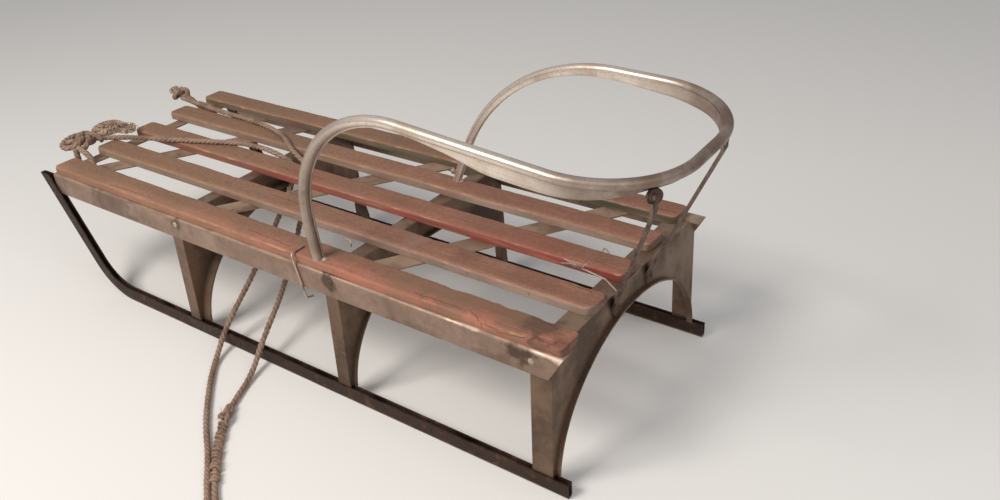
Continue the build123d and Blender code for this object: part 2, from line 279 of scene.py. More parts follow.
def normal_along(tree, axis):
    """How far a face looks along an axis: one straight along it, nought across."""
    return axis_of(add_node("NewGeometry", tree=tree).outputs["Normal"], axis)


def noise(place, scale, detail, **more):
    """Noise of several sizes at a place."""
    return add_node("TexNoise", Vector=place, Scale=scale, Detail=detail, **more).outputs["Fac"]


def stored(tree, name):
    """The number that a piece has stored at its points."""
    return add_node("Attribute", {"attribute_name": name}, tree).outputs["Fac"]


# %% A node group with one mask
def new_group(name, **inputs):
    """A node group with these inputs, a vector where three numbers are given, and one mask."""
    group = bpy.data.node_groups.new(name, "ShaderNodeTree")
    for label, value in inputs.items():
        kind = "NodeSocketVector" if isinstance(value, tuple) else "NodeSocketFloat"
        socket = group.interface.new_socket(label, in_out="INPUT", socket_type=kind)
        socket.default_value = value
    group.interface.new_socket("Mask", in_out="OUTPUT", socket_type="NodeSocketFloat")
    given = group.nodes.new("NodeGroupInput").outputs
    print("effect:", name)
    return group, given, group.nodes.new("NodeGroupOutput").inputs["Mask"]


# %% Blotches: noise between two levels
blotches, given, result = new_group(
    "blotches", Scale=30.0, Stretch=(1, 1, 1), Low=0.45, High=0.6, Detail=6.0, Shift=0.0)
stretched = vector_maths("MULTIPLY", object_place(blotches), given["Stretch"])
shifted = vector_maths("ADD", stretched, given["Shift"])
uneven = noise(shifted, given["Scale"], given["Detail"], Roughness=0.62)
connect(ramp(uneven, given["Low"], given["High"], shape="SMOOTHSTEP"), result)


def mask(tree, group, **sockets):
    """The mask of one of the shared effects."""
    return add_node("Group", {"node_tree": group}, tree, **sockets).outputs[0]


def cloud(tree, scale, low, high, shift=0.0, stretch=(1, 1, 1), detail=6.0):
    """Blotches: nought where the noise is below low, one where it is above high."""
    return mask(tree, blotches, Scale=scale, Low=low, High=high, Shift=shift, Stretch=stretch,
                Detail=detail)


# %% Settled dust: on faces that look upwards, in patches
settled, given, result = new_group("settled dust", Amount=1.0, Scale=25.0)
upward = ramp(normal_along(settled, "Z"), 0.35, 0.9, shape="SMOOTHSTEP")
patchy = cloud(settled, given["Scale"], 0.2, 0.46)
connect(times(times(upward, given["Amount"]), patchy), result)

# %% Worn edges: the piece's own edge numbers, broken up by noise
edge_wear, given, result = new_group("edge wear", Amount=0.6, Scale=60.0)
near_edge = times(stored(edge_wear, "edge"), given["Amount"])
summed = maths("ADD", near_edge, noise(object_place(edge_wear), given["Scale"], 5.0))
connect(ramp(summed, 0.85, 1.02, shape="SMOOTHSTEP"), result)

# %% Scratches: very long noise in two slanting directions
scratches, given, result = new_group("scratches", Scale=90.0, Amount=1.0)
lines = []
for turn, low in ((0.35, 0.66), (-0.9, 0.68)):
    spun = add_node("Mapping", Rotation=(0.3, turn, turn), Vector=object_place(scratches))
    drawn_out = vector_maths("MULTIPLY", spun.outputs[0], (0.05, 2.2, 2.2))
    lines.append(ramp(noise(drawn_out, given["Scale"], 2.0), low, low + 0.09))
connect(times(maths("MAXIMUM", *lines), given["Amount"]), result)


# %% Colours and material ends
def linear(tint):
    """A colour of three numbers from 0 to 255, as on a screen, made linear for a shader.

    What is linear already has four numbers, or comes from a node, and is left as it is.
    """
    if not isinstance(tint, tuple) or len(tint) == 4:
        return tint
    values = np.array(tint) / 255
    values = np.where(values <= 0.04045, values / 12.92, ((values + 0.055) / 1.055) ** 2.4)
    return (*values.tolist(), 1.0)


def mix(factor, one, two):
    """Colour one where the factor is nought, colour two where it is one."""
    return add_node("Mix", {"data_type": "RGBA"}, i0=factor, i6=linear(one),
                    i7=linear(two)).outputs[2]


def layered(base, layers):
    """Colours laid over a base in turn: each layer is a mask, its strength and a colour."""
    for where, strength, tint in layers:
        base = mix(times(where, strength), base, tint)
    return base


def new_material(name):
    """A material, the tree to work in, and its shader."""
    material = bpy.data.materials.new(name)
    material.use_nodes = True
    print("finish:", name)
    return material, material.node_tree, material.node_tree.nodes["Principled BSDF"]


def end(shader, base, roughness, height, strength, distance=0.5 * mm, metallic=0.0):
    """Bring colour, roughness, metal and bump to the shader."""
    bump = add_node("Bump", Height=height, Strength=strength, Distance=distance).outputs[0]
    ends = {"Base Color": base, "Roughness": roughness, "Metallic": metallic, "Normal": bump}
    for label, value in ends.items():
        connect(value, shader.inputs[label])


# %% [markdown]
# ## Marks at one place
# A stain is a spot: full near its centre, nought at its reach, with noise added to the
# distance. A crack is a line between two points. Its mask is one where the distance to the
# line is less than a hair's width, and noise bends the line so that it follows the grain.
# It is drawn in one of three planes, on the top, along the side or down the side, and only
# on faces that look out of that plane.

# %% Spots and cracks
def spot(tree, centre, reach, ragged=0.3, squeeze=(1, 1, 1)):
    """One at the centre and nought at the reach: a distance, made uneven by noise."""
    away = vector_maths("SUBTRACT", object_place(tree), centre)
    length = vector_maths("LENGTH", vector_maths("MULTIPLY", away, squeeze), output=1)
    uneven = maths("SUBTRACT", noise(object_place(tree), 90.0, 4.0), 0.5)
    length = maths("ADD", length, times(uneven, 4 * ragged * reach))
    return fade(length, reach * 0.35, reach)


# per plane: the axis along the crack, the axis at its side, the axis that its face looks along
crack_planes = {"top": ("X", "Y", "Z"), "side": ("X", "Z", "Y"), "down the side": ("Z", "X", "Y")}


def crack(tree, plane, start, stop, width):
    """One within a hair of the line v = a + b u between two points; noise along u bends it."""
    along_axis, side_axis, face_axis = crack_planes[plane]
    place = object_place(tree)
    along, side = axis_of(place, along_axis), axis_of(place, side_axis)
    slope = (stop[1] - start[1]) / (stop[0] - start[0])
    level = maths("ADD", times(along, slope), start[1] - slope * start[0])
    uneven = add_node("TexNoise", {"noise_dimensions": "1D"}, W=along, Scale=110.0, Detail=5.0)
    bend = 6 * mm if plane == "top" else 3 * mm
    bent = times(maths("SUBTRACT", uneven.outputs["Fac"], 0.5), bend)
    away = maths("ABSOLUTE", maths("ADD", maths("SUBTRACT", side, level), bent))
    low, high = sorted((start[0], stop[0]))
    fading = min(6 * mm, 0.3 * (high - low))
    window = times(fade(along, low + fading, low), fade(along, high - fading, high))
    on_face = times(window, fade(normal_along(tree, face_axis), 0.75, 0.5))
    return times(fade(away, width / 2, width), on_face)


# %% [markdown]
# ## Painted boards
# The paint is old and matt. On the tops it is hidden by brown dust that has been trodden
# and rubbed in, the sides still show each board's own colour, and the edges are worn to
# pale wood. Grain is noise that is squeezed along the board. Towards the front, where
# nobody sits, everything is paler and greyer.

# %% Board material
crack_width = 0.5 * mm
# per mask: noise scale, squeeze along the board, low, high, shift, detail
board_masks = {
    "grain": (260, 0.05, 0.3, 0.7, 0, 6), "streaks": (60, 0.08, 0.4, 0.65, 0, 6),
    "clouds": (14, 1, 0.35, 0.65, 3, 6), "long clouds": (22, 0.25, 0.38, 0.62, 11, 6),
    "spots": (120, 1, 0.62, 0.7, 0, 6), "mottle": (420, 0.6, 0.42, 0.6, 2, 3),
    "specks": (520, 1, 0.6, 0.68, 4, 3), "patches": (30, 0.4, 0.18, 0.44, 6, 6)}


def board_material(name, paint, side_dirt, shift, band, cracks, stains):
    """Paint on the sides, dust on top, wood at the edges, grain over all, and single marks.

    The band is where feet have rubbed the dust off the top: colour, full and none across the
    board in mm from its middle, and strength.
    """
    material, tree, shader = new_material(name)
    masks = {key: cloud(tree, scale, low, high, shift + more, (squeeze, 1, 1), detail)
             for key, (scale, squeeze, low, high, more, detail) in board_masks.items()}
    grain, clouds, mottle = masks["grain"], masks["clouds"], masks["mottle"]
    to_front = times(fade(axis_of(object_place(tree), "X"), 0.30, -0.24), 0.72)
    rubbed = mask(tree, edge_wear, Amount=0.5, Scale=45.0)
    wood = mix(grain, (150, 118, 92), (196, 158, 126))
    bared = layered(paint, [
        (masks["streaks"], 0.7, mix(grain, paint, wood)), (to_front, 0.7, (132, 103, 80)),
        (clouds, side_dirt, (92, 66, 50)), (rubbed, 1.0, wood)])
    dust = layered(mix(clouds, (138, 91, 72), (162, 111, 90)), [
        (masks["long clouds"], 0.45, (122, 90, 66)), (grain, 0.22, (112, 72, 56)),
        (to_front, 1.0, (140, 110, 84)), (mottle, 0.42, (104, 72, 56)),
        (masks["specks"], 0.4, (188, 148, 122))])
    rub_colour, full, none, strength = band
    in_band = times(fade(stored(tree, "across"), full * mm, none * mm), masks["patches"])
    rubbed_dust = layered(rub_colour, [(mottle, 0.3, dust), (to_front, 1.0, (154, 120, 94))])
    marked = layered(bared, [
        (mask(tree, settled, Amount=0.97, Scale=12.0), 1.0,
         layered(dust, [(in_band, strength, rubbed_dust)])),
        (rubbed, 0.55, (184, 138, 110)), (masks["spots"], 0.45, (70, 48, 38)),
        (fade(normal_along(tree, "X"), -0.8, -0.4), 0.65, (84, 62, 48))])
    marked = layered(marked, [(spot(tree, (x * mm, y * mm, z * mm), reach * mm), amount, tint)
                              for x, y, z, reach, amount, tint in stains])
    height = maths("ADD", times(grain, 0.4), times(mottle, -0.25))
    for plane, *ends in cracks:
        line = crack(tree, plane, *(np.array(ends) * mm).tolist(), crack_width)
        marked = layered(marked, [(line, 0.85, (72, 38, 30))])
        height = maths("SUBTRACT", height, line)
    end(shader, marked, ramp(masks["streaks"], 0, 1, 0.62, 0.9), height, 0.4, 0.7 * mm)
    return material


# %% [markdown]
# Each board has its own marks. The left one, nearest to the camera, has most: its rear end
# is split and torn, and grease has made it dark behind the seat. Cracks are given by two
# points in their plane, stains by place, reach, strength and colour, with lengths in mm.

# %% The paints
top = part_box("slat_1")[1][2] / mm
olive, soot, red_dust = (118, 94, 72), (66, 46, 38), (150, 84, 66)
orange_paint = board_material(
    "orange board", (170, 104, 84), 0.3, 1.0, ((178, 112, 92), 11, -4, 0.92),
    [("top", (-257, 141), (-282, 152.5)), ("top", (-328, 151.5), (-354, 147)),
     ("top", (-350, 146), (-371, 140)), ("top", (-336, 123.5), (-352, 126.5)),
     ("top", (-190, 146), (-255, 144)), ("top", (60, 139), (-20, 143)),
     ("top", (310, 147), (220, 144)), ("side", (-281, 173.5), (-306, 169)),
     ("side", (-298, 169), (-336, 174)), ("side", (-345, 170), (-368, 166)),
     ("down the side", (174.5, -280), (165.5, -281.5)),
     ("down the side", (175.5, -352), (165, -362))],
    [(-180, 125, top, 55, 0.5, olive), (-235, 126, top, 50, 0.6, olive),
     (-315, 128, top, 45, 0.6, olive), (-335, 130, top, 26, 0.55, soot),
     (-345, 152, 170, 14, 0.6, soot), (-366, 148, top, 16, 0.5, soot),
     (-50, 126, top, 50, 0.35, olive), (60, 128, top, 40, 0.3, olive),
     (200, 130, top, 50, 0.3, olive), (360, 140, top, 70, 0.4, olive)])
pale_paint = board_material(
    "pale board", (156, 132, 118), 0.4, 7.0, ((172, 122, 102), 16, 7, 0.6),
    [("top", (-326, 54.5), (-350, 58)), ("top", (100, 64), (40, 66)),
     ("top", (445, -66), (390, -70))],
    [(-200, 60, top, 20, 0.25, soot), (200, -70, top, 50, 0.3, olive)])
red_paint = board_material(
    "red board", (150, 48, 45), 0.35, 13.0, ((176, 108, 92), 16, 4, 0.6),
    [("top", (150, 4), (70, 2))],
    [(-250, -10, top, 50, 0.3, red_dust), (100, 0, top, 60, 0.25, red_dust)])
green_paint = board_material(
    "green board", (62, 68, 50), 0.5, 19.0, ((166, 118, 98), 16, 7, 0.5),
    [("top", (-310, -130), (-354, -127))], [(0, -140, top, 60, 0.3, olive)])

# %% [markdown]
# ## Boards
# A board is one closed grid: a rounded section, carried from the rear end to the front
# end. Its width shrinks near both ends to round the corners, its edges wander by a few
# tenths of a millimetre, and single nicks are pressed in where the real one was hit. A
# split is a row of points that is lowered between two places along the board.

# %% Board section
round_top, round_bottom, round_end = 2.8 * mm, 0.8 * mm, 1.8 * mm


def corner_arc(half, high, radius):
    """A quarter of a circle, from the side to the face: high is the level of the corner."""
    angle = np.linspace(0, np.pi / 2, 8)
    return np.c_[half - radius * (1 - np.cos(angle)), high - radius * (1 - np.sin(angle))]


def board_section(width, thick, splits):
    """Points round the section from its right side, and how near each is to a top edge.

    Nearness is exp(-(d / r)^2), d being the distance to the nearer top corner.
    """
    half, reach = width / 2, 2.2 * mm
    right = corner_arc(half, thick, round_top)
    low_left = -corner_arc(half, 0, round_bottom)
    across_top = np.linspace(half - round_top, -half + round_top, 11)[1:-1]
    beside = [value + step for value in splits for step in (-0.7 * mm, 0.0, 0.7 * mm)]
    across_top = np.sort(np.concatenate([across_top, beside]))[::-1]
    bottom = np.linspace(-half + round_bottom, half - round_bottom, 6)[1:-1]
    points = np.concatenate([
        right, np.c_[across_top, np.full(len(across_top), thick)], right[::-1] * (-1, 1),
        low_left, np.c_[bottom, np.zeros(4)], low_left[::-1] * (-1, 1)])
    away = np.linalg.norm(points[:, None] - [(half, thick), (-half, thick)], axis=2).min(axis=1)
    return points, np.exp(-((away / reach) ** 2))


# %% Board grid
def round_off(from_end, radius):
    """How far a corner's arc stands back from the edge: r - sqrt(r^2 - (r - distance)^2)."""
    inside_corner = np.clip(1 - from_end / radius, 0, 1)
    return radius * (1 - np.sqrt(1 - inside_corner ** 2))


def edge_dents(stations, side, seed, nicks, torn):
    """Depth along one edge: the wander's upper half, plus a bell curve for every nick."""
    waves = [(0.31, 0.12), (0.083, 0.16), (0.029, 0.10), (0.011, 0.07)]
    dents = np.clip(ripple(stations, seed + side, waves), 0, None) * (1.4 + 0.5 * torn)
    for at, nick_side, wide, deep in nicks:
        if nick_side == side:
            dents = dents + deep * np.exp(-(((stations / mm - at) / wide) ** 2))
    return dents[:, None] * mm


def board_grid(low, high, seed, splits, nicks, corners, torn):
    """The section carried along x, with corners rounded, edges dented, splits and a torn end.

    The corner radii are rear left, rear right, front left, front right.
    """
    width, thick = high[1] - low[1], high[2] - low[2]
    splits, corners = np.array(splits) * mm, np.array(corners) * mm
    section, edge_near = board_section(width, thick, splits[:, 0])
    side_of, is_top = section[:, 0], section[:, 1] > thick / 2
    plain = np.arange(low[0] + 15 * mm, high[0] - 15 * mm, 3.5 * mm)
    end_steps = 14.5 * mm * (1 - np.cos(np.linspace(0, np.pi / 2, 18)))
    stations = np.concatenate([low[0] + end_steps, plain, (high[0] - end_steps)[::-1]])
    from_rear, from_front = (stations - low[0])[:, None], (high[0] - stations)[:, None]
    rear, front = np.where(side_of > 0, corners[::2, None], corners[1::2, None])
    narrow = round_off(from_rear, rear) + round_off(from_front, front)
    thin = 0.9 * round_off(np.minimum(from_rear, from_front), round_end)
    across_at = side_of * (1 - narrow / (width / 2))
    up_at = thick / 2 + (section[:, 1] - thick / 2) * (1 - thin / (thick / 2))
    for side in (-1, 1):
        near = edge_near * (np.sign(side_of) == side)
        dents = edge_dents(stations, side, seed, nicks, torn) * near
        across_at = across_at - side * dents
        up_at = up_at - 0.6 * dents
    for row, start, stop, deep in splits:
        window = np.clip(np.minimum(stations - start, stop - stations) / (6 * mm), 0, 1)
        on_row = (np.abs(side_of - row) < 0.1 * mm) & (section[:, 1] > thick * 0.9)
        up_at = up_at - deep * window[:, None] * on_row
    wave = 0.12 * mm * ripple(stations, seed + 9, [(0.2, 1.0), (0.07, 0.5)]) - 0.18 * mm
    up_at = up_at + wave[:, None] * is_top
    jags = np.abs(ripple(side_of, seed + 5, [(0.012, 1.0), (0.0045, 0.6), (0.002, 0.3)]))
    torn_by = np.clip(1 - from_rear / (9 * mm), 0, 1) * jags * torn * mm
    middle = (low[1] + high[1]) / 2
    grid = np.stack([stations[:, None] + torn_by, middle + across_at, low[2] + up_at], axis=-1)
    return grid, np.broadcast_to(edge_near, across_at.shape), across_at


# %% Build the five boards
# all in mm: splits (row across, from, to, depth), nicks (x, side, width, depth), corner
# radii, and how deep the rear end is torn
board_plan = {
    "slat_1": (orange_paint, "orange_slat", [(9.5, -370, -292, 2.4), (2, -345, -262, 1.0)],
               [(75, 1, 5, 1.5), (-4, -1, 4, 1.5), (-226, -1, 9, 2.0), (-290, -1, 5, 1.6),
                (-335, -1, 6, 2.2), (-262, 1, 12, 1.2), (-345, 1, 9, 1.4), (235, 1, 8, 1.0)],
               (9, 8, 7, 7), 2.2),
    "slat_2": (pale_paint, "pale_slat", [(-6, -362, -310, 1.0)],
               [(181, -1, 4, 1.6), (-146, -1, 4, 1.3), (-335, -1, 7, 1.4)], (14, 8, 8, 7), 0.6),
    "slat_3": (red_paint, "red_slat", [(5, -357, -330, 0.8)], [(-200, 1, 6, 0.9)],
               (8, 8, 9, 7), 0.5),
    "slat_4": (pale_paint, "pale_slat", [(-4, 380, 446, 0.8)], [(50, 1, 5, 1.0)],
               (11, 8, 8, 7), 0.5),
    "slat_5": (green_paint, "green_slat", [(3, -352, -300, 0.8)], [(-100, 1, 6, 1.0)],
               (9, 7, 7, 7), 0.4)}
for number, (name, (paint, slot, *shape)) in enumerate(board_plan.items()):
    grid, near, across_at = board_grid(*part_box(name), 100 + 10 * number, *shape)
    add_piece(name + "_board", [grid], paint, slot, name, edge=near, across=across_at)

# %% [markdown]
# ## Metal
# The frame is dull sheet that has lost its shine under dirt. Its rims are brighter, partly
# metal rubbed by hands and boots and partly a painted highlight, and round the rivets grime
# has run down. The runners are darker and brown, bright only along the edge that slides. The
# hand rail is drawn aluminium, still bright on the arms, with brown stains and painted shade
# at the rear and on the left leg.

# %% Frame sheet
rail_low, rail_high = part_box("side_rail_left")
rail_rear, rail_side, rail_top = rail_low[0], rail_high[1], rail_high[2]


def height_band(tree, low, high):
    """Nought below the first height and one above the second, in metres."""
    return ramp(axis_of(object_place(tree), "Z"), low, high)


def sheet_material(name, clean, dull, rim_low, rim_high, shift, stains=()):
    """Dull patches over clean sheet, scratches, a brighter rim between two heights, stains.

    The rim's heights are in mm from the top of the rails.
    """
    material, tree, shader = new_material(name)
    dulled = cloud(tree, 16, 0.38, 0.62, shift)
    fine = cloud(tree, 140, 0.4, 0.7, shift)
    runs = cloud(tree, 40, 0.5, 0.72, shift + 5, (1, 1, 0.15))
    # the brighter rim band near the top edge: partly rubbed metal, partly a painted highlight
    rim = height_band(tree, rail_top + rim_low * mm, rail_top + rim_high * mm)
    base = layered(mix(dulled, clean, dull), [
        (runs, 0.28, (84, 62, 46)), (fine, 0.28, (104, 84, 68)),
        (mask(tree, scratches, Scale=190.0, Amount=0.35), 1.0, (160, 142, 124)),
        (times(rim, cloud(tree, 30, 0.3, 0.6)), 0.6, (190, 162, 138))])
    base = layered(base, [(spot(tree, (x, rail_side, z), reach, 0.5, squeeze), amount, tint)
                          for x, z, reach, amount, squeeze, tint in stains])
    end(shader, base, ramp(dulled, 0, 1, 0.42, 0.72), fine, 0.2, 0.3 * mm,
        ramp(dulled, 0, 1, 0.75, 0.35))
    return material


# %% The sheets, with the stains of the left rail
grime, bare_metal, even = (70, 50, 38), (226, 204, 184), (1, 1, 1)
# on the left rail: x, z, reach, strength, squeeze and colour
rail_stains = [
    (-0.326, 0.156, 0.017, 0.85, (0.8, 1, 1.3), grime), (-0.081, 0.157, 0.014, 0.8, even, grime),
    (0.172, 0.157, 0.012, 0.6, even, grime), (-0.30, 0.14, 0.012, 0.35, (0.3, 1, 1.5), grime),
    (0.30, 0.15, 0.03, 0.4, (0.5, 1, 1), grime), (-0.20, 0.138, 0.012, 0.3, (0.3, 1, 1.5), grime),
    (rail_rear + 3 * mm, rail_top, 0.009, 0.9, (1, 1, 1.3), bare_metal),
    (-0.352, rail_top, 0.008, 0.7, (0.4, 1, 2), bare_metal),
    (-0.260, rail_top, 0.006, 0.6, (0.2, 1, 2), bare_metal)]
rail_sheet = sheet_material("rail sheet", (164, 138, 122), (138, 114, 99), -3, 0, 2.0, rail_stains)
arch_sheet = sheet_material("arch sheet", (126, 102, 84), (84, 66, 53), -3, 2, 4.0)
brace_sheet = sheet_material("brace sheet", (152, 124, 104), (118, 94, 78), -2, 0, 6.0)

# %% Runner steel, strut steel, wire
def grey(level):
    """A plain number as a linear colour."""
    return (level, level, level, 1.0)


def rusty_steel(name, steel, rust, rusting, edge_amount, low_rim=None, side_highlight=0.0):
    """Brown rust over steel, worn metal at worn places and a painted highlight on faces along y."""
    material, tree, shader = new_material(name)
    rusted = cloud(tree, 28, 0.5 - rusting / 4, 0.72 - rusting / 4)
    pitted = cloud(tree, 220, 0.45, 0.65)
    bare_and_highlight = mask(tree, edge_wear, Amount=edge_amount, Scale=70.0)
    if side_highlight:
        # painted highlight: faces that look along y, the strut's narrow sides, are made bright like
        # worn metal
        rubbed = times(fade(normal_along(tree, "Y"), 0.8, 0.65), cloud(tree, 60, 0.3, 0.6, 3))
        bare_and_highlight = maths("MAXIMUM", bare_and_highlight, times(rubbed, side_highlight))
    if low_rim:
        slid = times(maths("SUBTRACT", 1.0, height_band(tree, *low_rim)),
                     cloud(tree, 50, 0.35, 0.6, stretch=(0.2, 1, 1)))
        bare_and_highlight = maths("MAXIMUM", bare_and_highlight, slid)
    base = layered(steel, [
        (rusted, 1.0, mix(pitted, rust, (38, 27, 22))),
        (cloud(tree, 90, 0.55, 0.66, 8), 0.4, (118, 78, 52)), (bare_and_highlight, 1.0, (150, 136, 124))])
    rough = mix(bare_and_highlight, mix(rusted, grey(0.45), grey(0.8)), grey(0.3))
    metal = maths("MAXIMUM", bare_and_highlight, ramp(rusted, 0, 1, 0.8, 0.15))
    end(shader, base, rough, pitted, 0.3, 0.4 * mm, metal)
    return material


runner_steel = rusty_steel(
    "runner steel", (58, 43, 35), (60, 39, 29), 0.5, 0.0, low_rim=(0.5 * mm, 3.5 * mm))
strut_steel = rusty_steel("strut steel", (92, 71, 60), (80, 54, 42), 0.6, 0.6, side_highlight=0.5)
wire_steel = rusty_steel("wire", (196, 176, 160), (120, 88, 68), 0.1, 0.0)


# %% Hand rail aluminium
def hand_rail_material():
    """Satin metal, bright on the arms, with brown stains and painted shade at the rear and left
    leg.
    """
    material, tree, shader = new_material("hand rail aluminium")
    unrolled = add_node("CombineXYZ", X=times(stored(tree, "along"), 6.0),
                        Y=times(stored(tree, "around"), 900.0)).outputs[0]
    drawn = ramp(noise(unrolled, 1.0, 3.0), 0.35, 0.65)
    bloom = cloud(tree, 20, 0.45, 0.7)
    x, y = (axis_of(object_place(tree), axis) for axis in "XY")
    # painted shade on the left leg, and stains with painted shade at the rear, all laid on as brown
    leg = times(fade(y, 0.10, 0.04), fade(x, -0.085, -0.18))
    stain_and_shade_region = maths("MAXIMUM", fade(x, -0.42, -0.30), times(leg, 0.7))
    stain_and_shade = times(stain_and_shade_region, ramp(cloud(tree, 26, 0.3, 0.6, 5), 0, 1, 0.65, 1.0))
    base = layered(mix(bloom, (226, 212, 199), (190, 171, 155)), [
        (drawn, 0.22, (150, 130, 114)), (stain_and_shade, 0.9, (104, 80, 66)),
        (mask(tree, scratches, Scale=260.0, Amount=0.5), 0.5, (132, 112, 97)),
        (cloud(tree, 420, 0.56, 0.66, 2), 0.3, (84, 64, 52))])
    dull = maths("MAXIMUM", bloom, stain_and_shade)
    end(shader, base, ramp(dull, 0, 1, 0.27, 0.46), drawn, 0.06, 0.2 * mm,
        ramp(dull, 0, 1, 0.66, 0.5))
    return material


hand_rail_metal = hand_rail_material()

# %% Give the frame's solids their finishes
finishes = {
    "side_rail": rail_sheet, "arch": arch_sheet, "brace": brace_sheet, "runner": runner_steel,
    "front_crosspiece": brace_sheet, "strut": strut_steel, "wire_clip": wire_steel,
    "tie_wire": wire_steel}
for solid in bpy.data.objects:
    for start, finish in finishes.items():
        if solid.type == "MESH" and solid.name.startswith(start):
            solid.data.materials.clear()
            solid.data.materials.append(finish)
            print(solid.name, "gets", finish.name)

# %% [markdown]
# ## Hand rail
# The hand rail is one drawn aluminium section, bent by hand: a round bead with a flat fin
# at its inner side, which was cut narrow on the legs. The CAD solid has it too, but light
# on polished metal shows every facet, so it is built anew as a fine grid. Its path is a
# line of straight runs whose corners are replaced by arcs. Its section is carried along
# by parallel transport: each ring takes the last one's directions and only tilts them as
# far as the path turns, so that the fin never twists.

# %% Hand rail path
def rounded_line(corners, radii, step):
    """Straight runs with an arc of the given radius in place of each inner corner.

    On an arc, a point is centre + (sin((1 - t) a) begin + sin(t a) finish) / sin(a), where a
    is the turn, and begin and finish are the arc's ends as seen from its centre.
    """
    corners = np.asarray(corners, dtype=float)
    points, t = [corners[0]], np.linspace(0, 1, 60)[:, None]
    for before, corner, after, radius in zip(corners[:-2], corners[1:-1], corners[2:], radii):
        one, two = unit(before - corner), unit(after - corner)
        half = math.acos(float(one @ two)) / 2
        centre = corner + unit(one + two) * radius / math.sin(half)
        begin = corner + one * radius / math.tan(half) - centre
        finish = corner + two * radius / math.tan(half) - centre
        turn = math.pi - 2 * half
        arc = (np.sin((1 - t) * turn) * begin + np.sin(t * turn) * finish) / math.sin(turn)
        points += list(centre + arc)
    points.append(corners[-1])
    return even_steps(np.array(points), step)


rail_step = 2 * mm
left_y, right_y, rear_x = 0.1537, -0.078, -0.450
foot_z, rear_z, right_rear_z, left_front_z, right_front_z = 0.1735, 0.3395, 0.3435, 0.3700, 0.3520
rail_line = rounded_line(
    [(-0.0606, 0.1464, foot_z), (-0.047, left_y, left_front_z), (rear_x, left_y, rear_z),
     (rear_x, right_y, right_rear_z), (-0.153, right_y, right_front_z), (-0.0778, right_y, foot_z)],
    (0.135, 0.091, 0.100, 0.212), rail_step)
print("hand rail length", round(len(rail_line) * rail_step, 3), "m")

# %% Hand rail section
bead, fin_thick, tip_radius = 5.25 * mm, 2 * mm, 0.5 * mm
# the fin's depth below the bead, in mm, at places along x on both arms
fin_left = [(-0.440, 4), (-0.425, 7), (-0.400, 12), (-0.350, 16), (-0.297, 16.5),
            (-0.255, 8.5), (-0.218, 5), (-0.12, 2), (-0.05, 1)]
fin_right = [(-0.440, 8), (-0.415, 8), (-0.390, 8.5), (-0.345, 6), (-0.312, 3),
             (-0.24, 0.6), (-0.2, 0)]


def fin_depth(path):
    """Depth read from the tables on both arms and level at the rear, then averaged over rings."""
    x, y, z = path.T
    left_depth, right_depth = (np.interp(x, *np.array(fin).T) * mm for fin in (fin_left, fin_right))
    depth = np.where(y > 0.04, left_depth, right_depth)
    depth = np.where(x < -0.440, z - rear_z + 4 * mm, depth)
    rings = 13
    padded = np.pad(depth, rings // 2, mode="edge")
    return np.maximum(np.convolve(padded, np.ones(rings) / rings, mode="valid"), 0)


def section_rows(depth):
    """Side and down distances of the outline: bead, groove, outer face, tip, inner face."""
    tip = (bead + depth)[:, None] - tip_radius
    around = np.radians(np.linspace(51.7, 352.0, 34))
    outer, inner = np.radians([30.0, 60.0, 90.0]), np.radians([75.0, 45.0, 15.0])
    run, face, inside = np.linspace(0.25, 1, 4), np.full(4, bead), bead - fin_thick
    groove_side = np.array([4.3, 4.3, 5.15, 5.25]) * mm
    groove_down = np.array([-0.35, 0.3, 0.6, 0.9]) * mm
    groove_end, fin_root = groove_down[-1], math.sqrt(bead ** 2 - inside ** 2)
    side = [bead * np.cos(around), groove_side, face,
            bead - tip_radius + tip_radius * np.cos(outer),
            inside + tip_radius - tip_radius * np.cos(inner), face - fin_thick]
    down = [bead * np.sin(around) + 0 * tip, groove_down + 0 * tip,
            groove_end + run * (tip - groove_end),
            tip + tip_radius * np.sin(outer), tip + tip_radius * np.sin(inner),
            fin_root + (1 - run) * 0.98 * (tip - fin_root) + 0.02 * mm]
    down = np.concatenate(down, axis=1)
    return np.broadcast_to(np.concatenate(side), down.shape), down


def carried_frame(path, first):
    """Parallel transport: the last direction minus its part along the new tangent."""
    tangent = unit(np.gradient(path, axis=0))
    downs, down = [], np.asarray(first, dtype=float)
    for heading in tangent:
        down = unit(down - heading * (down @ heading))
        downs.append(down)
    return np.cross(tangent, downs), np.array(downs)


# %% Build the hand rail
side_of, down_of = carried_frame(rail_line, (-1.0, 0.0, 0.0))
side_at, down_at = section_rows(fin_depth(rail_line))
rail_grid = (rail_line[:, None] + side_at[..., None] * side_of[:, None]
             + down_at[..., None] * down_of[:, None])
middle_ring = 200
girth = lengths_along(np.c_[side_at[middle_ring], down_at[middle_ring]])
hand_rail = add_piece(
    "hand_rail_fine", [rail_grid], hand_rail_metal, "hand_rail", "hand_rail",
    along=np.repeat(np.arange(len(rail_line)) * rail_step, rail_grid.shape[1]),
    around=np.tile(girth, len(rail_line)))
hand_rail.data.set_sharp_from_angle(angle=math.radians(38))

# %% [markdown]
# ## Rivets
# A rivet head is a low dome. It is a surface of revolution: the radius falls as a quarter
# of a circle does, and the height rises with it. The middle rivet is as dull as the rail,
# and the others have been rubbed bright.

# %% Rivets through the rails
def dome_grid(centre, normal, radius, height, around=20, rings=7):
    """Rings that shrink with the cosine and rise with the sine of one angle."""
    normal = np.asarray(normal, dtype=float)
    one = unit(np.cross(normal, (0.0, 0.0, 1.0) if abs(normal[2]) < 0.9 else (1.0, 0.0, 0.0)))
    two = np.cross(normal, one)
    angle = np.linspace(0, np.pi / 2 * 0.97, rings)
    wide = np.concatenate([[radius], radius * np.cos(angle)])
    rise = np.concatenate([[-0.4 * mm], height * np.sin(angle)])
    turn = circle(around)
    return (np.asarray(centre) + rise[:, None, None] * normal
            + wide[:, None, None] * (np.cos(turn)[:, None] * one + np.sin(turn)[:, None] * two))


